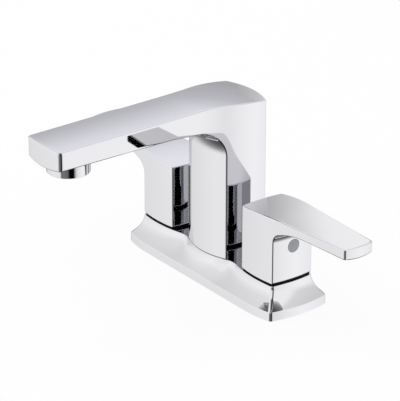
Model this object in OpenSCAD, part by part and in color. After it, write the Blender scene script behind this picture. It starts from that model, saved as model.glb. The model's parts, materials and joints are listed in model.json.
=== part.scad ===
// Centerset bathroom faucet: two lever handles and a fixed square-arch spout on one deck plate.
// Origin on the deck surface, midway between the valves. +Z is up, the spout points to -Y.

/* [Deck layout] */
// Distance between the two valve axes, the 4 inch deck standard
valve_centres = 101.6; // [98:0.2:110]
// Smallest running clearance between a turning piece and its bearing
running_fit = 0.06; // [0.03:0.01:0.09]
// Clearance between pieces that are only set in place
loose_fit = 0.2; // [0.12:0.02:0.3]

/* [Deck plate] */
// Height of the plate's flat top above the deck
plate_height = 19; // [17.5:0.1:20]
// Height of the upright rim at the foot of the plate
rim_height = 5.7; // [4:0.1:8]
// Side of the rim's square at each end, from corner to corner
rim_side = 43.4; // [42:0.1:50]
// Radius of the bulge of the rim's sides
rim_bulge_radius = 82; // [70:1:120]
// Width of the plate's top that shows around a handle or the column
plate_lip = 0.3; // [0.2:0.05:1]
// Radius of the round where the plate's outline turns in between a handle and the column
notch_radius = 13; // [8:0.5:18]
// Wall thickness of the cast plate
plate_wall = 2.2; // [1.6:0.1:2.4]
// Thickness of the sealing gasket in the rim
gasket_thickness = 2.2; // [1.5:0.1:3]

/* [Spout column] */
// Width of the column at its front corners
column_front_width = 38.6; // [37:0.1:41]
// Width of the column at its rear corners
column_rear_width = 40; // [38:0.1:41]
// Distance from the origin to the column's front corners
column_front_depth = 14.4; // [13:0.1:15]
// Distance from the origin to the column's rear corners
column_rear_depth = 15.1; // [14:0.1:16]
// Radius of the column's bulged front and rear
column_bulge_radius = 45; // [42:1:60]
// Radius of the column's nearly flat sides
column_side_radius = 90; // [80:1:140]
// Wall thickness of the cored column
column_wall = 3.2; // [2.4:0.1:4]

/* [Spout arm] */
// Distance from the origin to the corners of the spout's tip
arm_reach = 133.4; // [125:0.5:150]
// Width of the spout's tip
arm_tip_width = 33.8; // [32:0.1:34.4]
// Width of the arm where its sides begin to flare to the column
arm_root_width = 34.6; // [34:0.1:36]
// Length of the flare from the arm's side to the column's front corner
arm_flare_length = 20; // [14:0.5:28]
// Radius of the bulged front of the tip
arm_tip_radius = 79; // [60:1:120]
// Height of the top of the arm's tip above the deck
arm_tip_top = 119.5; // [117:0.1:121]
// Height of the highest point of the arm
arm_crest_top = 121; // [120.5:0.1:124]
// Distance from the origin to the arm's highest point
arm_crest_depth = 30; // [24:0.5:40]
// Radius of the arm's top where it falls away to the rear
arm_rear_radius = 330; // [280:5:450]
// Height of the underside along the arm's edges
arm_under = 107.6; // [105.5:0.1:109]
// Drop of the crowned underside at its middle
arm_belly = 1.6; // [0.8:0.1:2.2]
// Radius of the sweep from the column up to the arm's underside
arch_radius = 19; // [14:0.5:24]
// Drop of the underside where it runs into that sweep
arch_drop = 1.2; // [0.6:0.1:1.4]
// Length over which the underside drops
arch_lead = 19; // [12:0.5:24]

/* [Handles] */
// Side of the handle's square block, from corner to corner
block_side = 30.2; // [29.6:0.1:31]
// Radius of the bulge of the block's sides
block_bulge_radius = 85; // [70:1:120]
// Height of the block's lower edge above the plate's top
block_lift = 1.7; // [1.2:0.1:2.4]
// Wall thickness of the cast block
block_wall = 2.7; // [2.2:0.1:2.9]
// Distance from the valve axis to the corners of the lever's tip
lever_reach = 76.7; // [65:0.1:90]
// Width of the lever's tip
lever_tip_width = 21.9; // [18:0.1:25]
// Radius of the bulged end of the lever
lever_tip_radius = 54; // [40:1:90]
// Height of the lever's flat top above the deck
lever_top = 64.3; // [62:0.1:66]
// Rise of the lever's top towards its tip
lever_rise = 1; // [0:0.05:1.6]
// Height of the lever's underside along its edges
lever_under = 58.9; // [57:0.1:59.5]
// Drop of the lever's crowned underside at its middle
lever_belly = 0.9; // [0.5:0.1:1.4]
// Radius of the block's top where it falls away to the spout
lever_crown_radius = 300; // [250:5:400]
// Distance from the valve axis to where that fall begins
lever_crown_start = 24; // [20:0.5:30]
// Radius of the tight lower part of the arch under the lever
lever_arch_radius = 8; // [6:0.2:10]
// Radius of the long upper part of the arch under the lever
lever_sweep_radius = 60; // [50:1:80]
// Distance from the valve axis to the end of that sweep
lever_sweep_end = 42.2; // [40:0.2:48]
// Diameter of the index button
button_diameter = 8.4; // [7.4:0.1:9]
// Height of the index button's centre above the deck
button_height = 42.7; // [41.5:0.1:43.5]
// Width of the button's dark seat that shows around it
button_gap = 0.15; // [0.1:0.01:0.2]

/* [Aerator] */
// Diameter of the aerator's visible collar
collar_diameter = 26.2; // [25:0.1:27.4]
// Height of the collar's lower edge above the deck
collar_bottom = 98.9; // [97.5:0.1:100]
// Diameter of the aerator's male thread, M24 x 1
aerator_thread = 24; // [22:0.1:24]
// Length of that thread
aerator_thread_length = 7; // [5:0.1:8]
// Distance from the corners of the spout's tip back to the aerator's axis
aerator_setback = 17.1; // [16.4:0.1:20]

/* [Valves] */
// Diameter of the threaded shank, 1/2-14 straight pipe thread
shank_diameter = 20.96; // [20:0.02:21.5]
// Length of the shank below the deck
shank_length = 52; // [44:1:70]
// Diameter of the water inlet through the shank
inlet_diameter = 12; // [10:0.5:13]
// Diameter of the valve body's chamber
chamber_diameter = 25; // [24.4:0.1:26]
// Diameter of the valve's neck above the plate
neck_diameter = 22; // [21.4:0.1:22.4]
// Diameter of the bonnet nut
bonnet_diameter = 24.4; // [24:0.1:24.8]
// Diameter of the ceramic cartridge
cartridge_diameter = 18.6; // [18:0.1:19]
// Diameter of the turning stem
stem_diameter = 8; // [7:0.1:8.6]
// Thickness of each ceramic disc
disc_thickness = 2.5; // [2:0.1:2.8]
// Outer diameter of the tubes that feed the spout
tube_diameter = 10; // [9:0.1:10.2]
// Thickness of the deck that the shanks are shown clamping
deck_thickness = 12; // [6:0.5:16]

/* [Hidden] */
$fn = 96;
big_fn = 360;
// How far a cutting shape runs past the face that it cuts
overrun = 1;
// How far an outline is drawn past the round end that trims it
trim = 5;

function half_sag(radius, half) = radius - sqrt(pow(radius, 2) - pow(half, 2));
function mix(a, b, t) = a + (b - a) * t;

valve_x = valve_centres / 2;

// Plan sizes: each apex is the middle of a bulged side, its corners lie further in
block_half = block_side / 2;
block_apex = block_half + half_sag(block_bulge_radius, block_half);
pad_apex = block_apex + plate_lip;
pad_radius = block_bulge_radius + plate_lip;
pad_half = block_half + plate_lip;
rim_half = rim_side / 2;
rim_apex = rim_half + half_sag(rim_bulge_radius, rim_half);
column_front_apex = column_front_depth + half_sag(column_bulge_radius, column_front_width / 2);
column_rear_apex = column_rear_depth + half_sag(column_bulge_radius, column_rear_width / 2);
front_centre = column_bulge_radius - column_front_apex;
rear_centre = column_rear_apex - column_bulge_radius;

// The column's side is an arc through its front and rear corners
side_run = [(column_rear_width - column_front_width) / 2, column_front_depth + column_rear_depth];
side_mid = [(column_rear_width + column_front_width) / 4, (column_rear_depth - column_front_depth) / 2];
side_length = norm(side_run);
side_offset = sqrt(pow(column_side_radius, 2) - pow(side_length / 2, 2));
side_centre = side_mid + [-side_run[1], side_run[0]] / side_length * side_offset;

// Plate surface: the outline at the top spreads to the rim by the square of the way down
ring_steps = 9;
notch_steps = 6;
end_steps = 8;
flare_levels = 8;

// Valve levels
valve_base = gasket_thickness;
chamber_floor_thickness = 2.8;
chamber_floor = valve_base + chamber_floor_thickness;
seal_thickness = 2;
disc_gap = 0.05;
disc_wall = 1.1;
disc_diameter = cartridge_diameter - 2 * disc_wall;
window_inner = 2;
window_outer = 6.8;
window_half_angle = 38;
lower_disc_z = chamber_floor + seal_thickness;
upper_disc_z = lower_disc_z + disc_thickness + disc_gap;
driver_z = upper_disc_z + disc_thickness;
driver_height = 2.4;
driver_width = 7;
drive_pin_diameter = 2.4;
drive_pin_length = 1;
drive_pin_x = 5;
plate_under = plate_height - plate_wall;
neck_rise = 6;
neck_top = plate_height + neck_rise;
flange_thickness = 2;
bonnet_cap = 2;
bonnet_top = neck_top + flange_thickness + bonnet_cap;
stem_ring_depth = 2;
stem_ring_width = 1.5;
nose_wall = 0.6;
nose_diameter = stem_diameter + loose_fit + 2 * (stem_ring_width + nose_wall);
nose_rise = 4;
nose_top = bonnet_top + nose_rise;
stem_rise = 18;
stem_top = nose_top + stem_rise;
flat_depth = 0.8;
stem_flat = stem_diameter / 2 - flat_depth;
window_height = 3.5;
window_width = 8;

// Waterway
tube_floor = 2.3;
tube_z = valve_base + tube_floor + tube_diameter / 2;
tube_wall = 1;
tube_socket = 3;
tee_diameter = 23;
nipple_diameter = 16;
nipple_bore = 11;
foot_thickness = 6;
nipple_proud = 1.5;
nipple_top = plate_height + foot_thickness + nipple_proud;
seal_ring_section = 1.3;
seal_ring_rise = 2.6;
seal_ring_z = plate_height + seal_ring_rise;
foot_screw_x = 12;
foot_screw_y = 9;
foot_screw_diameter = 4;
foot_screw_head = 7;
foot_screw_head_height = 2.6;
foot_screw_grip = 4.4;
arm_floor = arm_under - arm_belly;
passage_width = 14;
passage_height = 6.4;
passage_z = (arm_floor + arm_tip_top) / 2;
core_top = passage_z + overrun;

// Aerator
washer_thickness = 1.5;
insert_flange = 2;
insert_diameter = 19;
insert_lip = 1.5;
washer_lip = 0.5;
insert_recess = 1.2;
seat_margin = 0.5;
stream_hole = 2.4;
stream_pitch = 3.4;
stream_rings = 2;
socket_top = arm_floor + aerator_thread_length + washer_thickness;

// Handle levels
block_bottom = plate_height + block_lift;
ring_inset = 0.8;
ring_gap = 0.25;
cavity_roof = 3;
cavity_top = lever_under - cavity_roof;
hub_diameter = 15;
hub_gap = 1.2;
hub_bottom = nose_top + hub_gap;
boss_diameter = 10.6;
button_depth = 3.8;
button_proud = 0.25;
button_dome = 30;
set_screw_diameter = 5;
set_screw_length = 8;
hex_key = 2.5;
lever_tip_half = lever_tip_width / 2;
// The lever's sides stand out a little from the block's corners, as the casting blends them
lever_shoulder = 0.1;
lever_root_half = block_half + lever_shoulder;
lever_slope = (lever_root_half - lever_tip_half) / (lever_reach - block_half);
lever_crown = (pow(lever_tip_half, 2) + pow(lever_belly, 2)) / (2 * lever_belly);

// The arch under the lever: a small arc off the block, which runs into a long one
arch_span = lever_sweep_radius - lever_arch_radius;
arch_x = block_half + lever_arch_radius;
sweep_z = lever_under - lever_sweep_radius;
arch_z = sweep_z + sqrt(pow(arch_span, 2) - pow(lever_sweep_end - arch_x, 2));
touch_x = mix(lever_sweep_end, arch_x, lever_sweep_radius / arch_span);

// The arm's flare and crown
flare_rise = (column_front_width - arm_root_width) / 2;
flare_radius = (pow(arm_flare_length, 2) + pow(flare_rise, 2)) / (2 * flare_rise);
flare_start = column_front_depth + arm_flare_length;
arm_slope = (arm_root_width - arm_tip_width) / 2 / (arm_reach - flare_start);
arm_top_slope = (arm_crest_top - arm_tip_top) / (arm_reach - arm_crest_depth);
// Distance from the origin to the aerator's axis
aerator_depth = arm_reach - aerator_setback;
arm_crown = (pow(arm_tip_width / 2, 2) + pow(arm_belly, 2)) / (2 * arm_belly);
arch_centre_z = arm_under - arch_drop - arch_radius;
arch_blend = 0.25;

// Deck hardware
washer_diameter = 36;
washer_height = 2;
nut_width = 30;
nut_height = 9;
nut_flange = 34;
nut_flange_height = 2.5;

// Right-hand pieces are drawn round the valve axis with the lever to +X, left-hand ones mirrored
module at_valve(side)
    translate([side * valve_x, 0, 0]) mirror([side < 0 ? 1 : 0, 0, 0]) children();

// A square with four bulged sides, given by the middles of its sides
module bulged_square(apex, radius)
    intersection() {
        round_side(apex, radius, 0);
        round_side(apex, radius, 90);
        round_side(apex, radius, 180);
        round_side(apex, radius, 270);
    }

// One round side of it, as a disc that reaches the middle of that side
module round_side(apex, radius, turn)
    rotate(turn) translate([apex - radius, 0]) circle(radius, $fn = big_fn);

// A side profile in Y and Z, drawn out along X about the middle
module across(width)
    rotate([90, 0, 90]) translate([0, 0, -width / 2]) linear_extrude(width) children();

// A side profile in X and Z, drawn out along Y about the middle
module along_lever(width)
    rotate([90, 0, 0]) translate([0, 0, -width / 2]) linear_extrude(width) children();

// A bore or pin along +X from a given start
module along_x(start, length, diameter, sides = $fn)
    translate([start, 0, 0]) rotate([0, 90, 0]) cylinder(d = diameter, h = length, $fn = sides);

// Front edge of the plate at a distance x from the middle, at its top and at its rim
function collar_edge(x, rear) =
    (rear ? column_rear_apex : column_front_apex) + plate_lip
        - half_sag(column_bulge_radius + plate_lip, x);
function pad_edge(x) = pad_apex - half_sag(pad_radius, x - valve_x);
function rim_edge(x) = rim_apex - (x < valve_x ? 0 : half_sag(rim_bulge_radius, x - valve_x));

// Centre of the round in the notch, which touches the collar's circle and the pad's from outside
function notch_centre(rear) =
    let (
        collar_y = (rear ? column_rear_apex : column_front_apex) - column_bulge_radius,
        gap = [valve_x, pad_apex - pad_radius - collar_y],
        near = column_bulge_radius + plate_lip + notch_radius,
        far = pad_radius + notch_radius,
        along = (pow(near, 2) - pow(far, 2) + pow(norm(gap), 2)) / (2 * norm(gap)),
        way = gap / norm(gap)
    )
    [0, collar_y] + way * along + [-way[1], way[0]] * sqrt(pow(near, 2) - pow(along, 2));

// Where that round leaves the collar and where it meets the pad
function notch_ends(rear) =
    let (x = notch_centre(rear)[0], collar_radius = column_bulge_radius + plate_lip)
    [x * collar_radius / (collar_radius + notch_radius),
        mix(valve_x, x, pad_radius / (pad_radius + notch_radius))];

// The whole top edge, with the round in the notch
function top_edge(x, rear) =
    let (centre = notch_centre(rear), ends = notch_ends(rear))
    x < ends[0] ? collar_edge(x, rear)
        : x > ends[1] ? pad_edge(x)
        : centre[1] - sqrt(pow(notch_radius, 2) - pow(x - centre[0], 2));

// One quarter of the outline from the middle to the corner, at a share of the spread to the rim
function quarter(rear, spread) =
    let (
        ends = notch_ends(rear),
        turn = rear ? 1 : -1,
        collar = [for (i = [0 : ring_steps - 1]) i / ring_steps * ends[0]],
        round = [for (i = [0 : notch_steps - 1]) mix(ends[0], ends[1], i / notch_steps)],
        inner = [for (x = concat(collar, round))
            [x, turn * mix(top_edge(x, rear), rim_edge(x), spread)]],
        pad = [for (i = [0 : ring_steps])
            let (
                top_x = mix(ends[1], valve_x + pad_half, i / ring_steps),
                foot_x = mix(ends[1], valve_x + rim_half, i / ring_steps)
            )
            [mix(top_x, foot_x, spread), turn * mix(pad_edge(top_x), rim_edge(foot_x), spread)]]
    )
    concat(inner, pad);

// The end face between the two corners
function end_face(spread) =
    [for (i = [1 : end_steps - 1])
        let (
            t = mix(-1, 1, i / end_steps),
            top = pad_apex - half_sag(pad_radius, t * pad_half),
            foot = rim_apex - half_sag(rim_bulge_radius, t * rim_half)
        )
        [valve_x + mix(top, foot, spread), t * mix(pad_half, rim_half, spread)]];

// The whole outline, anticlockwise from the middle of the front
function outline(spread) =
    let (
        front = quarter(false, spread),
        rear = quarter(true, spread),
        last = len(rear) - 1,
        right = concat(front, end_face(spread), [for (i = [0 : last]) rear[last - i]])
    )
    concat(right, [for (i = [len(right) - 2 : -1 : 1]) [-right[i][0], right[i][1]]]);

// Index of the point that mirrors point i across the middle of a loop of count points
function mirrored(i, count) = (count - i) % count;

// Triangles that close a loop, as rungs from its front points to its rear points
function cap(count) =
    let (
        last = count / 2,
        right = [for (i = [0 : floor(last / 2) - 1]) each concat([[i, i + 1, last - i]],
            i + 1 < last - i - 1 ? [[i + 1, last - i - 1, last - i]] : [])]
    )
    concat(right, [for (t = right)
        [mirrored(t[0], count), mirrored(t[2], count), mirrored(t[1], count)]]);

// A loft through one outline per level, from the foot up
module loft(outlines, heights) {
    count = len(outlines[0]);
    last = len(heights) - 1;
    points = [for (k = [0 : last]) for (p = outlines[k]) [p[0], p[1], heights[k]]];
    walls = [for (k = [0 : last - 1]) for (i = [0 : count - 1])
        let (j = (i + 1) % count, low = k * count, high = low + count)
        each [[low + i, high + i, high + j], [low + i, high + j, low + j]]];
    foot = cap(count);
    top = [for (t = foot) [last * count + t[0], last * count + t[2], last * count + t[1]]];
    polyhedron(points, concat(walls, foot, top));
}

// The plate's outside: an upright rim, then a concave flare up to the flat top
module plate_form() {
    shares = [for (k = [0 : flare_levels]) k / flare_levels];
    loft(concat([outline(1)], [for (t = shares) outline(pow(1 - t, 2))]),
        concat([0], [for (t = shares) mix(rim_height, plate_height, t)]));
}

module rim_outline(inset) {
    for (side = [-1, 1]) translate([side * valve_x, 0])
        bulged_square(rim_apex - inset, rim_bulge_radius - inset);
    square([valve_centres, 2 * (rim_apex - inset)], center = true);
}

// Cored hollow under the plate, drawn in step by step as the flare narrows
module plate_core() {
    waist = top_edge(notch_centre(true)[0], true);
    translate([0, 0, -overrun]) linear_extrude(rim_height + overrun) rim_outline(plate_wall);
    for (share = [1 / 3, 2 / 3, 1]) {
        spread = pow(1 - share, 2);
        top = mix(rim_height, plate_under, share);
        for (side = [-1, 1]) translate([side * valve_x, 0, 0]) linear_extrude(top)
            bulged_square(mix(pad_apex, rim_apex, spread) - plate_wall, rim_bulge_radius);
        linear_extrude(top) square([valve_centres, 2 * (mix(waist, rim_apex, spread) - plate_wall)],
            center = true);
    }
    linear_extrude(plate_under)
        bulged_square(column_front_apex + plate_lip - plate_wall, column_bulge_radius);
}

// Where the spout's fixing screws stand
module at_foot_screws()
    for (turn = [0, 180]) rotate(turn) translate([foot_screw_x, foot_screw_y, 0]) children();

module deck_plate() color("silver")
    difference() {
        plate_form();
        plate_core();
        for (side = [-1, 1]) translate([side * valve_x, 0, 0])
            cylinder(d = neck_diameter + loose_fit, h = plate_height + overrun);
        cylinder(d = nipple_diameter + 2 * loose_fit, h = plate_height + overrun);
        at_foot_screws() cylinder(d = foot_screw_diameter + 2 * loose_fit, h = plate_height + overrun);
    }

module deck_gasket() color("dimgray")
    difference() {
        linear_extrude(gasket_thickness) rim_outline(plate_wall + loose_fit);
        for (side = [-1, 1]) translate([side * valve_x, 0, -overrun])
            cylinder(d = shank_diameter + 2 * loose_fit, h = gasket_thickness + 2 * overrun);
    }

module column_plan(inset)
    intersection() {
        translate([0, front_centre]) circle(column_bulge_radius - inset, $fn = big_fn);
        translate([0, rear_centre]) circle(column_bulge_radius - inset, $fn = big_fn);
        translate(side_centre) circle(column_side_radius - inset, $fn = big_fn);
        translate([-side_centre[0], side_centre[1]])
            circle(column_side_radius - inset, $fn = big_fn);
    }

// The arm seen from above, with its sides flaring out to the column's front corners
module arm_plan() {
    far = arm_reach + trim;
    far_half = arm_tip_width / 2 - trim * arm_slope;
    root_half = arm_root_width / 2;
    tip_centre = arm_tip_radius - arm_reach - half_sag(arm_tip_radius, arm_tip_width / 2);
    intersection() {
        polygon([[-far_half, -far], [far_half, -far], [root_half, -flare_start], [root_half, 0],
            [-root_half, 0], [-root_half, -flare_start]]);
        translate([0, tip_centre]) circle(arm_tip_radius, $fn = big_fn);
    }
    difference() {
        translate([-column_front_width / 2, -flare_start])
            square([column_front_width, arm_flare_length + column_wall]);
        for (side = [-1, 1]) translate([side * (root_half + flare_radius), -flare_start])
            circle(flare_radius, $fn = big_fn);
    }
}

// Side view of the spout's top: it rises to the crest, then falls away to the rear
module top_profile() {
    far = arm_reach + trim;
    rear = 2 * column_rear_apex;
    difference() {
        polygon([[-far, 0], [-far, arm_tip_top - trim * arm_top_slope],
            [-arm_crest_depth, arm_crest_top], [rear, arm_crest_top], [rear, 0]]);
        difference() {
            translate([-arm_crest_depth, plate_height])
                square([2 * arm_reach, arm_crest_top]);
            translate([-arm_crest_depth, arm_crest_top - arm_rear_radius])
                circle(arm_rear_radius, $fn = big_fn);
        }
    }
}

// The crowned underside of the arm, as a long round bar that the arm is cut from
module arm_crown_bar()
    intersection() {
        translate([0, 0, arm_floor + arm_crown]) rotate([90, 0, 0])
            cylinder(r = arm_crown, h = 3 * arm_reach, center = true, $fn = big_fn);
        translate([-arm_tip_width, -2 * arm_reach, arm_floor - overrun])
            cube([2 * arm_tip_width, 2 * arm_reach, arm_crest_top]);
    }

// The sweep from the column's round front up to the underside, turned about the front's centre
module arm_arch() {
    hub = column_bulge_radius - column_wall;
    centre = column_bulge_radius + arch_radius;
    end = centre + arch_lead;
    translate([0, front_centre, 0]) rotate_extrude($fn = big_fn) difference() {
        polygon([[hub, arch_centre_z], [centre, arch_centre_z],
            [centre, arch_centre_z + arch_radius - arch_blend], [end, arm_under],
            [end, arm_under + arch_drop], [hub, arm_under + arch_drop]]);
        translate([centre, arch_centre_z]) circle(arch_radius);
    }
}

module arm()
    intersection() {
        translate([0, 0, arch_centre_z]) linear_extrude(arm_crest_top) arm_plan();
        union() {
            arm_crown_bar();
            arm_arch();
        }
    }

// Bore along the arm and core in the column that lead the water to the aerator
module spout_waterway() {
    run = aerator_depth + passage_width / 2;
    translate([0, 0, plate_height + foot_thickness])
        linear_extrude(core_top - plate_height - foot_thickness) column_plan(column_wall);
    translate([-passage_width / 2, -run, passage_z - passage_height / 2])
        cube([passage_width, run, passage_height]);
    translate([0, 0, plate_height - overrun])
        cylinder(d = nipple_diameter + 2 * running_fit, h = foot_thickness + 2 * overrun);
    translate([0, -aerator_depth, arm_floor - overrun])
        cylinder(d = aerator_thread + 2 * running_fit, h = socket_top - arm_floor + overrun);
}

module spout_body() color("silver")
    difference() {
        union() {
            intersection() {
                union() {
                    translate([0, 0, plate_height]) linear_extrude(arm_crest_top) column_plan(0);
                    arm();
                }
                across(2 * column_rear_width) top_profile();
            }
            translate([0, -aerator_depth, arm_floor])
                cylinder(d = collar_diameter + 2 * seat_margin, h = arm_belly + overrun);
        }
        spout_waterway();
        at_foot_screws() translate([0, 0, plate_height - overrun])
            cylinder(d = foot_screw_diameter + 2 * running_fit, h = foot_screw_grip + overrun);
    }

module spout_screws() color("gray")
    at_foot_screws() {
        translate([0, 0, plate_under])
            cylinder(d = foot_screw_diameter, h = plate_wall + foot_screw_grip - loose_fit);
        translate([0, 0, plate_under - foot_screw_head_height]) difference() {
            cylinder(d = foot_screw_head, h = foot_screw_head_height);
            translate([0, 0, -overrun]) cylinder(d = hex_key, h = 2 * overrun + hex_key / 4, $fn = 6);
        }
    }

module spout_seal_ring() color("black")
    translate([0, 0, seal_ring_z]) rotate_extrude()
        translate([(nipple_diameter - seal_ring_section) / 2, 0]) circle(d = seal_ring_section);

// Brass tee under the plate: a tube from each valve, and a nipple up into the spout
module spout_tee() color("goldenrod")
    difference() {
        union() {
            translate([0, 0, valve_base]) cylinder(d = tee_diameter, h = plate_under - valve_base);
            translate([0, 0, valve_base]) cylinder(d = nipple_diameter, h = nipple_top - valve_base);
        }
        translate([0, 0, chamber_floor]) cylinder(d = nipple_bore, h = nipple_top);
        translate([0, 0, seal_ring_z]) rotate_extrude() translate([nipple_diameter / 2, 0])
            square([2 * seal_ring_section, seal_ring_section + loose_fit], center = true);
        translate([0, 0, tube_z]) {
            along_x(-tee_diameter, 2 * tee_diameter, tube_diameter - 2 * tube_wall);
            for (turn = [0, 180]) rotate(turn)
                along_x(tee_diameter / 2 - tube_socket, tee_diameter, tube_diameter + 2 * running_fit);
        }
    }

module waterway_tube(side) color("peru")
    mirror([side < 0 ? 1 : 0, 0, 0]) translate([0, 0, tube_z]) {
        start = tee_diameter / 2 - tube_socket + running_fit;
        end = valve_x - chamber_diameter / 2 + tube_socket - running_fit;
        difference() {
            along_x(start, end - start, tube_diameter);
            along_x(start - overrun, end - start + 2 * overrun, tube_diameter - 2 * tube_wall);
        }
    }

module aerator_housing() color("silver")
    translate([0, -aerator_depth, 0]) difference() {
        union() {
            translate([0, 0, collar_bottom])
                cylinder(d = collar_diameter, h = arm_floor - collar_bottom);
            translate([0, 0, collar_bottom])
                cylinder(d = aerator_thread, h = arm_floor - collar_bottom + aerator_thread_length);
        }
        translate([0, 0, collar_bottom - overrun])
            cylinder(d = insert_diameter + loose_fit, h = socket_top);
        translate([0, 0, arm_floor + aerator_thread_length - insert_flange])
            cylinder(d = insert_diameter + 2 * insert_lip + loose_fit, h = insert_flange + overrun);
    }

module aerator_insert() color("whitesmoke")
    translate([0, -aerator_depth, 0]) difference() {
        flange_z = arm_floor + aerator_thread_length - insert_flange;
        union() {
            translate([0, 0, collar_bottom + insert_recess])
                cylinder(d = insert_diameter, h = flange_z - collar_bottom - insert_recess + overrun);
            translate([0, 0, flange_z])
                cylinder(d = insert_diameter + 2 * insert_lip, h = insert_flange);
        }
        stream_holes() translate([0, 0, collar_bottom])
            cylinder(d = stream_hole, h = socket_top, $fn = 24);
    }

// Places of the insert's holes: one in the middle and rings of six, twelve and so on
module stream_holes() {
    children();
    for (ring = [1 : stream_rings]) for (i = [0 : 6 * ring - 1])
        rotate(i * 60 / ring) translate([ring * stream_pitch, 0, 0]) children();
}

module aerator_washer() color("black")
    translate([0, -aerator_depth, arm_floor + aerator_thread_length]) difference() {
        cylinder(d = aerator_thread - loose_fit, h = washer_thickness);
        translate([0, 0, -overrun])
            cylinder(d = insert_diameter - 2 * washer_lip, h = washer_thickness + 2 * overrun);
    }

// Brass valve body: shank through the deck, chamber under the plate, neck up through it
module valve_body(side) color("goldenrod")
    at_valve(side) difference() {
        union() {
            translate([0, 0, -shank_length])
                cylinder(d = shank_diameter, h = shank_length + valve_base + overrun);
            translate([0, 0, valve_base])
                cylinder(d = chamber_diameter, h = plate_under - valve_base);
            translate([0, 0, valve_base]) cylinder(d = neck_diameter, h = neck_top - valve_base);
        }
        translate([0, 0, -shank_length - overrun])
            cylinder(d = inlet_diameter, h = shank_length + overrun + chamber_floor + overrun);
        translate([0, 0, chamber_floor])
            cylinder(d = cartridge_diameter + 2 * running_fit, h = neck_top);
        translate([0, 0, tube_z]) {
            along_x(-chamber_diameter, chamber_diameter, tube_diameter - 2 * tube_wall);
            along_x(-3 / 2 * chamber_diameter + tube_socket, chamber_diameter,
                tube_diameter + 2 * running_fit);
        }
    }

module seat_seal(side) color("black")
    at_valve(side) translate([0, 0, chamber_floor]) difference() {
        cylinder(d = cartridge_diameter - loose_fit, h = seal_thickness);
        translate([0, 0, -overrun]) cylinder(d = inlet_diameter, h = seal_thickness + 2 * overrun);
    }

// Two opposite sector windows of a ceramic disc
module sector_windows()
    for (turn = [0, 180]) rotate(turn) intersection() {
        difference() {
            circle(window_outer);
            circle(window_inner);
        }
        polygon([[0, 0], [cartridge_diameter, cartridge_diameter * tan(window_half_angle)],
            [cartridge_diameter, -cartridge_diameter * tan(window_half_angle)]]);
    }

module lower_disc(side) color("white")
    at_valve(side) translate([0, 0, lower_disc_z]) linear_extrude(disc_thickness) difference() {
        circle(d = disc_diameter);
        sector_windows();
    }

// The turning disc's windows stand across the fixed one's while the tap is shut
module upper_disc(side) color("white")
    at_valve(side) translate([0, 0, upper_disc_z]) difference() {
        linear_extrude(disc_thickness) difference() {
            circle(d = disc_diameter);
            rotate(90) sector_windows();
        }
        for (x = [-drive_pin_x, drive_pin_x])
            translate([x, 0, disc_thickness - drive_pin_length - loose_fit])
                cylinder(d = drive_pin_diameter + loose_fit, h = disc_thickness);
    }

module stem(side) color("goldenrod")
    at_valve(side) difference() {
        translate([0, 0, driver_z]) {
            cylinder(d = stem_diameter, h = stem_top - driver_z);
            intersection() {
                cylinder(d = disc_diameter, h = driver_height);
                translate([-disc_diameter / 2, -driver_width / 2, 0])
                    cube([disc_diameter, driver_width, driver_height]);
            }
            for (x = [-drive_pin_x, drive_pin_x]) translate([x, 0, -drive_pin_length])
                cylinder(d = drive_pin_diameter, h = drive_pin_length + overrun);
        }
        translate([stem_flat, -stem_diameter / 2, hub_bottom])
            cube([stem_diameter, stem_diameter, stem_top]);
    }

// Cartridge body: holds both discs, and its windows let the water out to the side port
module cartridge_body(side) color("khaki")
    at_valve(side) difference() {
        union() {
            translate([0, 0, lower_disc_z])
                cylinder(d = cartridge_diameter, h = neck_top - lower_disc_z + overrun);
            translate([0, 0, neck_top]) cylinder(d = neck_diameter - loose_fit, h = flange_thickness);
            translate([0, 0, neck_top]) cylinder(d = nose_diameter, h = nose_top - neck_top);
        }
        translate([0, 0, lower_disc_z - overrun])
            cylinder(d = disc_diameter + 2 * running_fit,
                h = driver_z + driver_height + disc_gap - lower_disc_z + overrun);
        translate([0, 0, lower_disc_z])
            cylinder(d = stem_diameter + 2 * running_fit, h = nose_top);
        translate([0, 0, nose_top - stem_ring_depth])
            cylinder(d = stem_diameter + 2 * stem_ring_width + loose_fit, h = stem_ring_depth + overrun);
        translate([0, 0, upper_disc_z + window_height / 2])
            cube([2 * cartridge_diameter, window_width, window_height], center = true);
    }

module stem_ring(side) color("black")
    at_valve(side) translate([0, 0, nose_top - stem_ring_depth]) difference() {
        cylinder(d = stem_diameter + 2 * stem_ring_width, h = stem_ring_depth - loose_fit);
        translate([0, 0, -overrun])
            cylinder(d = stem_diameter + 2 * running_fit, h = stem_ring_depth + 2 * overrun);
    }

// Bonnet nut: screwed on the neck, it clamps the plate below and the cartridge above
module bonnet_nut(side) color("gold")
    at_valve(side) difference() {
        translate([0, 0, plate_height]) cylinder(d = bonnet_diameter, h = bonnet_top - plate_height);
        translate([0, 0, plate_height - overrun])
            cylinder(d = neck_diameter + 2 * running_fit,
                h = neck_top + flange_thickness - plate_height + overrun);
        translate([0, 0, plate_height]) cylinder(d = nose_diameter + 2 * loose_fit, h = bonnet_top);
    }

// Black ring under the block that slides over the plate as the handle turns
module glide_ring(side) color("black")
    at_valve(side) translate([0, 0, plate_height + ring_gap]) difference() {
        linear_extrude(block_lift - ring_gap)
            bulged_square(block_apex - ring_inset, block_bulge_radius - ring_inset);
        translate([0, 0, -overrun])
            cylinder(d = bonnet_diameter + 2 * loose_fit, h = block_lift + 2 * overrun);
    }

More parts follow.
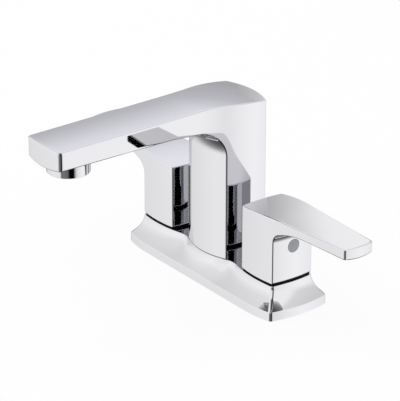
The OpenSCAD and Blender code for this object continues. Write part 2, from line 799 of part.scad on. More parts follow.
// The block's top, level towards the lever and falling away towards the spout
module lever_top_profile() {
    far = lever_reach + trim;
    far_top = lever_top + lever_rise * (far - lever_crown_start) / (lever_reach - lever_crown_start);
    lap = [lever_crown_start - overrun, lever_top - overrun];
    polygon([[lap[0], 0], [far, 0], [far, far_top], [lever_crown_start, lever_top],
        [lever_crown_start, lap[1]], lap]);
    intersection() {
        translate([lever_crown_start, lever_top - lever_crown_radius])
            circle(lever_crown_radius, $fn = big_fn);
        translate([-block_side, 0]) square([block_side + lever_crown_start, lever_top]);
    }
}

// The lever seen from above: straight tapering sides and a bulged end
module lever_plan() {
    far = lever_reach + trim;
    far_half = lever_tip_half - trim * lever_slope;
    near_half = lever_root_half + block_half * lever_slope;
    tip_centre = lever_reach + half_sag(lever_tip_radius, lever_tip_half) - lever_tip_radius;
    intersection() {
        polygon([[0, -near_half], [far, -far_half], [far, far_half], [0, near_half]]);
        translate([tip_centre, 0]) circle(lever_tip_radius, $fn = big_fn);
    }
}

// The web between the block and the underside, cut by the two arcs of the arch
module arch_profile()
    difference() {
        translate([0, arch_z]) square([lever_sweep_end, lever_under - arch_z + lever_belly]);
        translate([arch_x, arch_z]) circle(lever_arch_radius);
        intersection() {
            translate([lever_sweep_end, sweep_z]) circle(lever_sweep_radius, $fn = big_fn);
            translate([touch_x, sweep_z])
                square([lever_sweep_radius, lever_sweep_radius + overrun]);
        }
        translate([arch_x, arch_z]) square([touch_x - arch_x + overrun, overrun]);
    }

module lever() {
    floor = lever_under - lever_belly;
    intersection() {
        translate([0, 0, floor]) linear_extrude(lever_top) lever_plan();
        translate([0, 0, floor + lever_crown]) rotate([0, 90, 0])
            cylinder(r = lever_crown, h = 2 * lever_reach, $fn = big_fn);
    }
    intersection() {
        linear_extrude(lever_top) lever_plan();
        along_lever(2 * block_side) arch_profile();
    }
}

module handle(side) color("silver")
    at_valve(side) difference() {
        intersection() {
            union() {
                translate([0, 0, block_bottom]) linear_extrude(lever_top)
                    bulged_square(block_apex, block_bulge_radius);
                lever();
            }
            along_lever(2 * block_side) lever_top_profile();
        }
        difference() {
            translate([0, 0, block_bottom - overrun])
                linear_extrude(cavity_top - block_bottom + overrun)
                    bulged_square(block_apex - block_wall, block_bulge_radius - block_wall);
            translate([0, 0, hub_bottom]) cylinder(d = hub_diameter, h = cavity_top);
            translate([0, 0, button_height]) along_x(0, block_side, boss_diameter);
        }
        translate([0, 0, hub_bottom - overrun])
            cylinder(d = stem_diameter + 2 * running_fit, h = stem_top - hub_bottom + 2 * overrun);
        translate([0, 0, button_height]) {
            along_x(0, block_side, set_screw_diameter + 2 * running_fit);
            along_x(block_apex - button_depth, block_side, button_diameter + 2 * button_gap);
        }
    }

module index_button(side) color("gray")
    at_valve(side) translate([0, 0, button_height]) intersection() {
        along_x(block_apex - button_depth, button_depth + button_proud, button_diameter);
        translate([block_apex + button_proud - button_dome, 0, 0]) sphere(button_dome, $fn = big_fn);
    }

module set_screw(side) color("gray")
    at_valve(side) translate([0, 0, button_height]) difference() {
        along_x(stem_flat + running_fit, set_screw_length, set_screw_diameter);
        along_x(stem_flat + set_screw_length - hex_key, set_screw_length, hex_key, 6);
    }

module deck_washer(side) color("dimgray")
    at_valve(side) translate([0, 0, -deck_thickness - washer_height]) difference() {
        cylinder(d = washer_diameter, h = washer_height);
        translate([0, 0, -overrun])
            cylinder(d = shank_diameter + 2 * loose_fit, h = washer_height + 2 * overrun);
    }

module mounting_nut(side) color("goldenrod")
    at_valve(side) translate([0, 0, -deck_thickness - washer_height]) mirror([0, 0, 1]) difference() {
        union() {
            cylinder(d = nut_flange, h = nut_flange_height);
            cylinder(d = nut_width / cos(30), h = nut_height, $fn = 6);
        }
        translate([0, 0, -overrun])
            cylinder(d = shank_diameter + 2 * running_fit, h = nut_height + 2 * overrun);
    }

deck_plate();
deck_gasket();
spout_body();
spout_screws();
spout_seal_ring();
spout_tee();
aerator_housing();
aerator_insert();
aerator_washer();
waterway_tube(-1);  // left_waterway_tube
waterway_tube(1);  // right_waterway_tube
valve_body(-1);  // left_valve_body
valve_body(1);  // right_valve_body
cartridge_body(-1);  // left_cartridge_body
cartridge_body(1);  // right_cartridge_body
seat_seal(-1);  // left_seat_seal
seat_seal(1);  // right_seat_seal
lower_disc(-1);  // left_lower_disc
lower_disc(1);  // right_lower_disc
upper_disc(-1);  // left_upper_disc
upper_disc(1);  // right_upper_disc
stem(-1);  // left_stem
stem(1);  // right_stem
stem_ring(-1);  // left_stem_ring
stem_ring(1);  // right_stem_ring
bonnet_nut(-1);  // left_bonnet_nut
bonnet_nut(1);  // right_bonnet_nut
glide_ring(-1);  // left_glide_ring
glide_ring(1);  // right_glide_ring
handle(-1);  // left_handle
handle(1);  // right_handle
index_button(-1);  // left_index_button
index_button(1);  // right_index_button
set_screw(-1);  // left_set_screw
set_screw(1);  // right_set_screw
deck_washer(-1);  // left_deck_washer
deck_washer(1);  // right_deck_washer
mounting_nut(-1);  // left_mounting_nut
mounting_nut(1);  // right_mounting_nut
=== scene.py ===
"""Looks of a centerset bathroom faucet: chrome castings with their rounded edges, small parts, studio and camera.

Sizes are in millimetres in the classes, and every mesh is scaled to metres once, when its piece is made.
"""

import json
import logging
import math
from collections.abc import Callable, Iterable
from dataclasses import dataclass, field
from enum import Enum

import bmesh
import bpy
from mathutils import Matrix, Vector


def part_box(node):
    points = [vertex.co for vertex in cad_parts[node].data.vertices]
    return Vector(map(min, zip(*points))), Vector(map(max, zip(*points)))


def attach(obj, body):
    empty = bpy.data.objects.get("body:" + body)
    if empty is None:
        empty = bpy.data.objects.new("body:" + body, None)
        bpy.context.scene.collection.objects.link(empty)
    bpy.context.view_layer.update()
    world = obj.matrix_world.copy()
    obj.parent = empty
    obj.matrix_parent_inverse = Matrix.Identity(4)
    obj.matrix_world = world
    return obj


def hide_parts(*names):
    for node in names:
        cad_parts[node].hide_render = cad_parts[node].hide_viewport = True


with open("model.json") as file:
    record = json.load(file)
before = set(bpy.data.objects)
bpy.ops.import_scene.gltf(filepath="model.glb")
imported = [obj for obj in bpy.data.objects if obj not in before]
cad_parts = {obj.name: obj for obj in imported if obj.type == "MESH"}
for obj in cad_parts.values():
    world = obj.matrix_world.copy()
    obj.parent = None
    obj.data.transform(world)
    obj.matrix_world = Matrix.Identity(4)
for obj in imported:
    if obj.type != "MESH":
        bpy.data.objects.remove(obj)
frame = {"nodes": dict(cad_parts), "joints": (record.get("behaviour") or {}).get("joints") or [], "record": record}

LOG = logging.getLogger("faucet")
MM = 0.001
WELD = 0.0001
SHARP_ANGLE = math.radians(33)
BEVEL_ANGLE = math.radians(26)

Place = Callable[[int, int], Vector]


class Side(Enum):
    """The two valves, as the user of the basin sees them."""

    LEFT = -1
    RIGHT = 1

    @property
    def word(self) -> str:
        """The side's prefix in node names."""
        return self.name.lower()


def linear_colour(code: str) -> tuple[float, float, float, float]:
    """Turns an sRGB hex colour to the linear values that shaders take.

    Args:
        code: Six hex digits, such as "F0F0F4".

    Returns:
        Linear red, green and blue, and an alpha of 1.
    """
    parts = [int(code[i:i + 2], 16) / 255 for i in (0, 2, 4)]
    red, green, blue = (c / 12.92 if c <= 0.04045 else ((c + 0.055) / 1.055) ** 2.4 for c in parts)
    return red, green, blue, 1.0


def sag(radius: float, half: float) -> float:
    """How far an arc of this radius drops over half its chord."""
    return radius - math.sqrt(radius ** 2 - half ** 2)


def mix(low: float, high: float, share: float) -> float:
    """The value at a share of the way from low to high."""
    return low + (high - low) * share


def smooth_share(value: float) -> float:
    """A share from 0 to 1 that starts and ends without a kink."""
    held = min(1.0, max(0.0, value))
    return held * held * (3 - 2 * held)


def add_sheet(bm: bmesh.types.BMesh, rows: int, columns: int, place: Place) -> None:
    """Adds a grid whose vertex in row i and column j stands at place(i, j).

    Args:
        bm: The mesh that takes the grid.
        rows: Number of faces from the first row of vertices to the last.
        columns: Number of faces across.
        place: Gives the position of each vertex.
    """
    made = bmesh.ops.create_grid(bm, x_segments=columns, y_segments=rows, size=1.0)
    for vert in made["verts"]:
        across = round((vert.co.x + 1) / 2 * columns)
        along = round((vert.co.y + 1) / 2 * rows)
        vert.co = place(along, across)


def weld(bm: bmesh.types.BMesh) -> None:
    """Joins the sheets of one shell at their common edges and turns every face outwards."""
    bmesh.ops.remove_doubles(bm, verts=bm.verts[:], dist=WELD)
    bmesh.ops.dissolve_degenerate(bm, edges=bm.edges[:], dist=WELD)
    bmesh.ops.recalc_face_normals(bm, faces=bm.faces[:])


def sharp_edges(bm: bmesh.types.BMesh) -> list[bmesh.types.BMEdge]:
    """The outward edges that a casting has rounded."""
    return [
        edge for edge in bm.edges
        if len(edge.link_faces) == 2 and edge.is_convex and edge.calc_face_angle() > BEVEL_ANGLE
    ]


def round_edges(bm: bmesh.types.BMesh, edges: Iterable[bmesh.types.BMEdge], radius: float, steps: int) -> None:
    """Rounds edges to a radius.

    Args:
        bm: The mesh.
        edges: The edges to round.
        radius: Radius in millimetres.
        steps: Faces over the round.
    """
    bmesh.ops.bevel(
        bm, geom=list(edges), offset=radius, offset_type="OFFSET", affect="EDGES",
        segments=steps, profile=0.5, material=-1, clamp_overlap=False, loop_slide=True,
    )


def add_disc_bar(bm: bmesh.types.BMesh, diameter: float, start: Vector, end: Vector, sides: int = 96) -> None:
    """Adds a closed cylinder between two points, as a cutter or a boss."""
    axis = end - start
    turn = axis.to_track_quat("Z", "Y").to_matrix().to_4x4()
    bmesh.ops.create_cone(
        bm, cap_ends=True, segments=sides, radius1=diameter / 2, radius2=diameter / 2,
        depth=axis.length, matrix=Matrix.Translation((start + end) / 2) @ turn,
    )


def mesh_object(name: str, bm: bmesh.types.BMesh) -> bpy.types.Object:
    """Turns a mesh in millimetres into an object in metres, in the scene.

    Args:
        name: The object's name.
        bm: The mesh, which is freed.

    Returns:
        The object, at the origin.
    """
    bmesh.ops.transform(bm, matrix=Matrix.Scale(MM, 4), verts=bm.verts[:])
    for face in bm.faces:
        face.smooth = True
    mesh = bpy.data.meshes.new(name)
    bm.to_mesh(mesh)
    bm.free()
    made = bpy.data.objects.new(name, mesh)
    bpy.context.scene.collection.objects.link(made)
    return made


def combine(piece: bpy.types.Object, tool: bmesh.types.BMesh, operation: str) -> None:
    """Cuts a tool out of a piece, or joins it on, and keeps the result as the piece's mesh.

    Args:
        piece: The piece that changes.
        tool: A closed mesh in millimetres.
        operation: "DIFFERENCE" or "UNION".
    """
    cutter = mesh_object(piece.name + "_tool", tool)
    step = piece.modifiers.new("Shape", "BOOLEAN")
    step.operation = operation
    step.solver = "EXACT"
    step.object = cutter
    graph = bpy.context.evaluated_depsgraph_get()
    shaped = bpy.data.meshes.new_from_object(piece.evaluated_get(graph))
    old = piece.data
    piece.modifiers.clear()
    piece.data = shaped
    bpy.data.meshes.remove(old)
    bpy.data.objects.remove(cutter)


def add_node(tree: bpy.types.NodeTree, kind: str, settings: dict | None = None,
             links: dict | None = None) -> bpy.types.Node:
    """Adds one shader node.

    Args:
        tree: The node tree.
        kind: The node's type, such as "ShaderNodeBump".
        settings: Property names, or input names or indices, with their values. "stops" gives a colour ramp's
            positions and colours in order.
        links: Input names or indices with the output sockets that feed them.

    Returns:
        The new node.
    """
    node = tree.nodes.new(kind)
    for key, value in (settings or {}).items():
        if key == "stops":
            elements = node.color_ramp.elements
            elements[0].position, elements[1].position = value[0][0], value[-1][0]
            elements[0].color, elements[1].color = value[0][1], value[-1][1]
            for position, tone in value[1:-1]:
                elements.new(position).color = tone
        elif isinstance(key, str) and hasattr(node, key):
            setattr(node, key, value)
        else:
            node.inputs[key].default_value = value
    for key, socket in (links or {}).items():
        tree.links.new(socket, node.inputs[key])
    return node


@dataclass(frozen=True)
class Finish:
    """A surface: what it is made of and how it was worked.

    grain is the width of the surface's ripple or texture and depth is its height, both in millimetres.
    """

    name: str
    colour: str
    metallic: float
    roughness: float
    grain: float
    depth: float
    spread: float = 0.0
    marks: float = 0.0
    gloss: float = 0.5

    def material(self) -> bpy.types.Material:
        """Builds the material, once for each finish."""
        made = bpy.data.materials.get(self.name)
        if made:
            return made
        made = bpy.data.materials.new(self.name)
        made.use_nodes = True
        tree = made.node_tree
        tree.nodes.clear()
        place = add_node(tree, "ShaderNodeTexCoord").outputs["Object"]
        grain = add_node(
            tree, "ShaderNodeTexNoise", {"Scale": 1 / (self.grain * MM), "Detail": 2.0}, {"Vector": place}
        )
        height = grain.outputs["Fac"]
        if self.marks:
            rings = add_node(
                tree, "ShaderNodeTexWave",
                {"wave_type": "BANDS", "bands_direction": "Z", "Scale": 1 / (self.marks * MM) / 20,
                 "Distortion": 0.4},
                {"Vector": place},
            )
            height = add_node(
                tree, "ShaderNodeMath", {"operation": "ADD"}, {0: grain.outputs["Fac"], 1: rings.outputs["Fac"]}
            ).outputs[0]
        bump = add_node(
            tree, "ShaderNodeBump", {"Strength": 1.0, "Distance": self.depth * MM}, {"Height": height}
        )
        rough = add_node(
            tree, "ShaderNodeMapRange",
            {"To Min": self.roughness, "To Max": self.roughness + self.spread},
            {"Value": grain.outputs["Fac"]},
        )
        shader = add_node(
            tree, "ShaderNodeBsdfPrincipled",
            {"Base Color": linear_colour(self.colour), "Metallic": self.metallic,
             "Specular IOR Level": self.gloss},
            {"Roughness": rough.outputs["Result"], "Normal": bump.outputs["Normal"]},
        )
        add_node(tree, "ShaderNodeOutputMaterial", links={"Surface": shader.outputs["BSDF"]})
        return made


# Bright nickel-chrome plate over polished castings: a mirror with a faint cool tint
CHROME = Finish("polished_chrome_plate", "D2D2D5", 1.0, 0.02, 9.0, 0.0004, 0.01)
# Turned brass, left bare where it isn't seen
BRASS = Finish("turned_brass", "D6B25E", 1.0, 0.26, 1.2, 0.01, 0.08, marks=0.5)
# Drawn copper tube, slightly dull
COPPER = Finish("drawn_copper", "D98F70", 1.0, 0.3, 1.5, 0.008, 0.1)
# Stainless steel screws, tumbled
STEEL = Finish("stainless_steel", "C4C4C8", 1.0, 0.24, 0.8, 0.006, 0.08)
# Moulded black rubber, matt
RUBBER = Finish("moulded_rubber", "1B1B1C", 0.0, 0.62, 0.5, 0.02, 0.15)
# Moulded black nylon, which slides on the plate; its colour and gloss are set darker than the nylon's own, as painted
# shade of the gap between the handle and the plate, so that it reads as a plain dark line
NYLON_AND_GAP_SHADE = Finish("moulded_nylon", "08080A", 0.0, 0.5, 0.7, 0.008, 0.1, gloss=0.12)
# Glossy moulded grey plastic of the index buttons
INDEX_GREY = Finish("index_button_grey", "A2A3A8", 0.0, 0.16, 1.5, 0.002, 0.04)
# White acetal of the aerator insert
ACETAL = Finish("moulded_acetal", "D8D8D6", 0.0, 0.42, 0.8, 0.01, 0.08)
# Lapped alumina, nearly white
ALUMINA = Finish("lapped_alumina", "F1EEE6", 0.0, 0.22, 0.6, 0.003, 0.05)

SLOT_FINISHES = {
    "chrome": CHROME, "brass": BRASS, "copper_tube": COPPER, "steel": STEEL, "black_rubber": RUBBER,
    "black_plastic": NYLON_AND_GAP_SHADE, "grey_plastic": INDEX_GREY, "white_plastic": ACETAL, "ceramic": ALUMINA,
}


def dress(piece: bpy.types.Object, finish: Finish) -> None:
    """Gives a piece one finish in place of what it had."""
    piece.data.materials.clear()
    piece.data.materials.append(finish.material())


def finish_piece(piece: bpy.types.Object, finish: Finish, body: str, slot: str, *nodes: str) -> None:
    """Sets a new piece's shading and finish, and ties it to the frame.

    Args:
        piece: The piece, with its final mesh.
        finish: Its surface.
        body: The body that it moves with.
        slot: The record's material slot. Not used.
        nodes: The nodes that it stands for.
    """
    for polygon in piece.data.polygons:
        polygon.use_smooth = True
    piece.data.set_sharp_from_angle(angle=SHARP_ANGLE)
    dress(piece, finish)
    shading = piece.modifiers.new("Even shading", "WEIGHTED_NORMAL")
    shading.keep_sharp = True
    shading.weight = 50
    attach(piece, body)
    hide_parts(*nodes)
    LOG.info("made %s with %d faces", piece.name, len(piece.data.polygons))


@dataclass
class ElbowCasting:
    """A casting that rises as a block and turns into an arm: the spout, and each lever handle.

    Lengths run in millimetres along the arm (a), across it (b) and up (z). Each row of the mesh has a lower
    point, on the block's front or the arm's underside, and an upper one, on the block's rear or the top.
    """

    front_depth: float
    front_half: float
    front_radius: float
    rear_depth: float
    rear_half: float
    rear_radius: float
    reach: float
    tip_half: float
    tip_radius: float
    foot: float
    arch_z: float
    under: float
    belly: float
    crown: float
    edge_radius: float
    tip_edge_radius: float
    column_rows: int = 4
    arch_rows: int = 26
    arm_rows: int = 24
    rear_rows: int = 16
    across: int = 24
    wall: int = 8

    def plan_half(self, a: float) -> float:
        """Half the width at a distance along the arm."""
        raise NotImplementedError

    def arch_point(self, share: float) -> tuple[float, float]:
        """How far out from the block's front, and how high, the sweep under the arm is at a share of its run."""
        raise NotImplementedError

    def top(self, a: float) -> float:
        """Height of the top along its edges at a distance along the arm."""
        raise NotImplementedError

    @property
    def rows(self) -> int:
        """Faces from the foot to the tip."""
        return self.column_rows + self.arch_rows + self.arm_rows

    def front_arc(self, out: float, b: float) -> float:
        """Distance along the arm of a point that stands this far out from the bulged front."""
        centre = self.front_depth - math.sqrt(self.front_radius ** 2 - self.front_half ** 2)
        return centre + math.sqrt((self.front_radius + out) ** 2 - b ** 2)

    def rear_arc(self, b: float) -> float:
        """Distance along the arm of the bulged rear."""
        centre = -self.rear_depth + math.sqrt(self.rear_radius ** 2 - self.rear_half ** 2)
        return centre - math.sqrt(self.rear_radius ** 2 - b ** 2)

    def tip_arc(self, b: float) -> float:
        """Distance along the arm of the bulged tip."""
        return self.reach + sag(self.tip_radius, self.tip_half) - sag(self.tip_radius, b)

    def edge_width(self, line: Callable[[float], float]) -> float:
        """Half the width where a line across the casting meets its sides.

        Args:
            line: Distance along the arm at a distance across it.

        Returns:
            The distance across at which the line meets the side.
        """
        half = self.plan_half(line(0.0))
        for _ in range(12):
            half = self.plan_half(line(half))
        return half

    def lower_line(self, row: int) -> tuple[Callable[[float], float], float, float]:
        """The line across the lower side in one row, its edge height and its share of the belly."""
        if row <= self.column_rows:
            z = mix(self.foot, self.arch_z, row / self.column_rows)
            return (lambda b: self.front_arc(0.0, b)), z, 0.0
        if row <= self.column_rows + self.arch_rows:
            share = (row - self.column_rows) / self.arch_rows
            out, z = self.arch_point(share)
            return (lambda b: self.front_arc(out, b)), z, smooth_share((share - 0.45) / 0.55)
        end, z = self.arch_point(1.0)
        share = (row - self.column_rows - self.arch_rows) / self.arm_rows
        return (lambda b: mix(self.front_arc(end, b), self.tip_arc(b), share)), z, 1.0

    def upper_line(self, row: int) -> tuple[Callable[[float], float], float | None, float]:
        """The line across the rear or top in one row, its height where it is on the rear, and its crown."""
        if row < self.rear_rows:
            low = min(row / self.column_rows, 1.0)
            if row <= self.column_rows:
                z = mix(self.foot, self.arch_z, low)
            else:
                rear_top = self.top(self.rear_arc(self.rear_half))
                z = mix(self.arch_z, rear_top,
                        (row - self.column_rows) / (self.rear_rows - self.column_rows))
            return self.rear_arc, z, 0.0
        share = (row - self.rear_rows) / (self.rows - self.rear_rows)
        return (lambda b: mix(self.rear_arc(b), self.tip_arc(b), share)), None, 1.0

    def lower_point(self, row: int, u: float) -> Vector:
        """A point of the lower side in one row, from u = -1 at one edge to 1 at the other."""
        line, z, belly = self.lower_line(row)
        b = u * self.edge_width(line)
        return Vector((line(b), b, z - self.belly * belly * (1 - u * u)))

    def upper_point(self, row: int, u: float) -> Vector:
        """A point of the rear or top in one row."""
        line, z, crown = self.upper_line(row)
        b = u * self.edge_width(line)
        a = line(b)
        height = self.top(a) if z is None else z
        return Vector((a, b, height + self.crown * crown * (1 - u * u)))

    def ribbon_point(self, row: int, column: int) -> Vector:
        """A point of the strip that runs up the front, out to the tip, back over the top and down the rear."""
        u = 2 * column / self.across - 1
        if row <= self.rows:
            return self.lower_point(row, u)
        if row < self.rows + self.wall:
            share = (row - self.rows) / self.wall
            return self.lower_point(self.rows, u).lerp(self.upper_point(self.rows, u), share)
        if row <= 2 * self.rows + self.wall:
            return self.upper_point(2 * self.rows + self.wall - row, u)
        share = (row - 2 * self.rows - self.wall) / self.wall
        return self.upper_point(0, u).lerp(self.lower_point(0, u), share)

    def side_point(self, row: int, column: int, turn: int) -> Vector:
        """A point of one upright side."""
        share = column / self.wall
        point = self.lower_point(row, turn).lerp(self.upper_point(row, turn), share)
        if 0 < column < self.wall:
            point.y = turn * self.plan_half(point.x)
        return point

    def shell(self) -> bmesh.types.BMesh:
        """Builds the closed casting, with its edges rounded, in its own lengths."""
        bm = bmesh.new()
        add_sheet(bm, 2 * self.rows + 2 * self.wall, self.across, self.ribbon_point)
        for turn in (-1, 1):
            add_sheet(bm, self.rows, self.wall, lambda i, j, t=turn: self.side_point(i, j, t))
        weld(bm)
        upright = [
            edge for edge in sharp_edges(bm)
            if min(v.co.x for v in edge.verts) > self.reach - self.tip_edge_radius
            and abs(edge.verts[0].co.y - edge.verts[1].co.y) < WELD
            and abs(edge.verts[0].co.x - edge.verts[1].co.x) < WELD
        ]
        round_edges(bm, upright, self.tip_edge_radius, 5)
        round_edges(bm, sharp_edges(bm), self.edge_radius, 3)
        return bm


@dataclass
class SpoutCasting(ElbowCasting):
    """The fixed spout: a column with bulged faces and a long flat arm."""

    root_half: float = 17.3
    flare_length: float = 20.0
    side_radius: float = 90.0
    arch_radius: float = 19.0
    arch_drop: float = 1.2
    arch_lead: float = 19.0
    lead_share: float = 0.25
    crest: float = 121.0
    crest_depth: float = 30.0
    crest_radius: float = 330.0
    tip_top: float = 119.5

    def plan_half(self, a: float) -> float:
        flare_start = self.front_depth + self.flare_length
        if a >= flare_start:
            return mix(self.root_half, self.tip_half, (a - flare_start) / (self.reach - flare_start))
        rise = self.front_half - self.root_half
        radius = (self.flare_length ** 2 + rise ** 2) / (2 * rise)
        if a >= self.front_depth:
            return self.root_half + sag(radius, flare_start - a)
        run = Vector((self.rear_half - self.front_half, -(self.rear_depth + self.front_depth)))
        middle = Vector(((self.rear_half + self.front_half) / 2, (self.front_depth - self.rear_depth) / 2))
        inward = Vector((run.y, -run.x)).normalized()
        centre = middle + inward * math.sqrt(self.side_radius ** 2 - (run.length / 2) ** 2)
        return centre.x + math.sqrt(self.side_radius ** 2 - (a - centre.y) ** 2)

    def arch_point(self, share: float) -> tuple[float, float]:
        turn = 1 - self.lead_share
        if share <= turn:
            angle = share / turn * math.pi / 2
            return (self.arch_radius * (1 - math.cos(angle)), self.arch_z + self.arch_radius * math.sin(angle))
        lead = (share - turn) / self.lead_share
        rise = mix(0.0, self.under - self.arch_z - self.arch_radius, smooth_share(lead))
        return self.arch_radius + self.arch_lead * lead, self.arch_z + self.arch_radius + rise

    def top(self, a: float) -> float:
        if a >= self.crest_depth:
            return mix(self.crest, self.tip_top, (a - self.crest_depth) / (self.reach - self.crest_depth))
        return self.crest - sag(self.crest_radius, self.crest_depth - a)


@dataclass
class LeverCasting(ElbowCasting):
    """A handle: a square block with bulged sides and a flat lever that tapers to its tip."""

    shoulder: float = 0.1
    tight_radius: float = 8.0
    sweep_radius: float = 60.0
    sweep_end: float = 42.2
    crown_start: float = 24.0
    crown_radius: float = 300.0
    top_height: float = 64.3
    rise: float = 1.0

    def plan_half(self, a: float) -> float:
        apex = self.front_half + sag(self.front_radius, self.front_half)
        bulge = apex - sag(self.front_radius, min(abs(a), self.front_half))
        root = self.front_half + self.shoulder
        lever = root + (self.tip_half - root) * (a - self.front_half) / (self.reach - self.front_half)
        return max(bulge, lever) if a > 0 and a < self.front_half else (lever if a > 0 else bulge)

    def arch_point(self, share: float) -> tuple[float, float]:
        tight_x = self.front_half + self.tight_radius
        span = self.sweep_radius - self.tight_radius
        sweep_z = self.under - self.sweep_radius
        tight_z = sweep_z + math.sqrt(span ** 2 - (self.sweep_end - tight_x) ** 2)
        lean = math.atan2(tight_z - sweep_z, self.sweep_end - tight_x)
        tight_turn = math.pi - lean
        cut = 0.45
        if share <= cut:
            angle = math.pi - share / cut * (math.pi - tight_turn)
            x = tight_x + self.tight_radius * math.cos(angle)
            return x - self.front_half, tight_z + self.tight_radius * math.sin(angle)
        angle = mix(tight_turn, math.pi / 2, (share - cut) / (1 - cut))
        x = self.sweep_end + self.sweep_radius * math.cos(angle)
        return x - self.front_half, sweep_z + self.sweep_radius * math.sin(angle)

    def top(self, a: float) -> float:
        if a >= self.crown_start:
            return self.top_height + self.rise * (a - self.crown_start) / (self.reach - self.crown_start)
        return self.top_height - sag(self.crown_radius, self.crown_start - a)


@dataclass
class Spout:
    """The spout body with its aerator collar."""

    aerator_depth: float = 116.3
    collar_diameter: float = 26.2
    collar_bottom: float = 98.9
    thread_diameter: float = 24.0
    thread_top: float = 113.0
    insert_diameter: float = 19.2
    flange_diameter: float = 22.2
    flange_height: float = 2.0
    socket_top: float = 114.5
    floor: float = 106.0
    lip: float = 0.5

    def build(self) -> None:
        """Makes the casting and the collar."""
        low, high = (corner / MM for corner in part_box("spout_body"))
        casting = SpoutCasting(
            front_depth=14.4, front_half=19.3, front_radius=45.0, rear_depth=15.1, rear_half=20.0,
            rear_radius=45.0, reach=133.4, tip_half=16.9, tip_radius=79.0, foot=low.z, arch_z=87.4,
            under=107.6, belly=1.6, crown=0.55, edge_radius=0.7, tip_edge_radius=2.3, crest=high.z,
        )
        bm = casting.shell()
        turn = Matrix(((0, 1, 0, 0), (-1, 0, 0, 0), (0, 0, 1, 0), (0, 0, 0, 1)))
        bmesh.ops.transform(bm, matrix=turn, verts=bm.verts[:])
        bmesh.ops.recalc_face_normals(bm, faces=bm.faces[:])
        piece = mesh_object("spout_shell", bm)
        axis = Vector((0, -self.aerator_depth, 0))
        boss = bmesh.new()
        add_disc_bar(boss, self.collar_diameter + 2 * self.lip, axis + Vector((0, 0, self.floor)),
                     axis + Vector((0, 0, self.floor + 3 * self.lip)))
        combine(piece, boss, "UNION")
        socket = bmesh.new()
        add_disc_bar(socket, self.thread_diameter + 0.12, axis + Vector((0, 0, self.floor - 1)),
                     axis + Vector((0, 0, self.socket_top)))
        combine(piece, socket, "DIFFERENCE")
        finish_piece(piece, CHROME, "root", "chrome", "spout_body")
        self.build_collar()

    def build_collar(self) -> None:
        """Turns the aerator's housing: a plain collar below, its thread above, and the bore."""
        outer, bore = self.collar_diameter / 2, self.insert_diameter / 2
        thread, flange = self.thread_diameter / 2, self.flange_diameter / 2
        groove = 0.35
        profile = [
            (bore, self.collar_bottom), (outer - 1.6, self.collar_bottom),
            (outer - 1.6, self.collar_bottom + groove), (outer - 1.1, self.collar_bottom + groove),
            (outer - 1.1, self.collar_bottom), (outer, self.collar_bottom), (outer, self.floor),
            (thread, self.floor), (thread, self.thread_top), (flange, self.thread_top),
            (flange, self.thread_top - self.flange_height), (bore, self.thread_top - self.flange_height),
        ]
        bm = bmesh.new()
        verts = [bm.verts.new((r, 0, z)) for r, z in profile]
        edges = [bm.edges.new((verts[i], verts[(i + 1) % len(verts)])) for i in range(len(verts))]
        bmesh.ops.spin(
            bm, geom=verts + edges, cent=(0, 0, 0), axis=(0, 0, 1), angle=2 * math.pi, steps=128,
            use_merge=True, use_duplicate=False,
        )
        weld(bm)
        rims = [e for e in sharp_edges(bm) if e.verts[0].co.z < self.floor + 1]
        round_edges(bm, rims, 0.22, 2)
        bmesh.ops.translate(bm, vec=(0, -self.aerator_depth, 0), verts=bm.verts[:])
        finish_piece(mesh_object("aerator_collar", bm), CHROME, "root", "chrome", "aerator_housing")


@dataclass
class LeverHandle:
    """One lever handle on its valve."""

    side: Side
    button_diameter: float = 8.4
    button_gap: float = 0.15
    button_height: float = 42.7
    button_depth: float = 3.8

    def build(self) -> None:
        """Makes the casting, turned to its side, with the seat of its index button."""
        low, high = (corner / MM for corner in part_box(f"{self.side.word}_handle"))
        valve = next(j["pos_m"][0] for j in frame["joints"] if j["child"] == f"{self.side.word}_lever") / MM
        casting = LeverCasting(
            front_depth=15.1, front_half=15.1, front_radius=85.0, rear_depth=15.1, rear_half=15.1,
            rear_radius=85.0, reach=76.7, tip_half=10.95, tip_radius=54.0, foot=low.z, arch_z=47.26,
            under=58.9, belly=0.9, crown=0.10, edge_radius=0.7, tip_edge_radius=2.2,
            column_rows=4, arch_rows=20, arm_rows=12, rear_rows=12, across=20, wall=8,
        )
        bm = casting.shell()
        placed = Matrix.Translation((valve, 0, 0)) @ Matrix.Diagonal((self.side.value, 1, 1, 1))
        bmesh.ops.transform(bm, matrix=placed, verts=bm.verts[:])
        bmesh.ops.recalc_face_normals(bm, faces=bm.faces[:])
        piece = mesh_object(f"{self.side.word}_lever_shell", bm)
        face = casting.front_arc(0.0, 0.0)
        seat = bmesh.new()
        add_disc_bar(
            seat, self.button_diameter + 2 * self.button_gap,
            Vector((valve + self.side.value * (face - self.button_depth), 0, self.button_height)),
            Vector((valve + self.side.value * (face + 2), 0, self.button_height)),
        )
        combine(piece, seat, "DIFFERENCE")
        word = self.side.word
        finish_piece(piece, CHROME, f"{word}_lever", "chrome", f"{word}_handle")


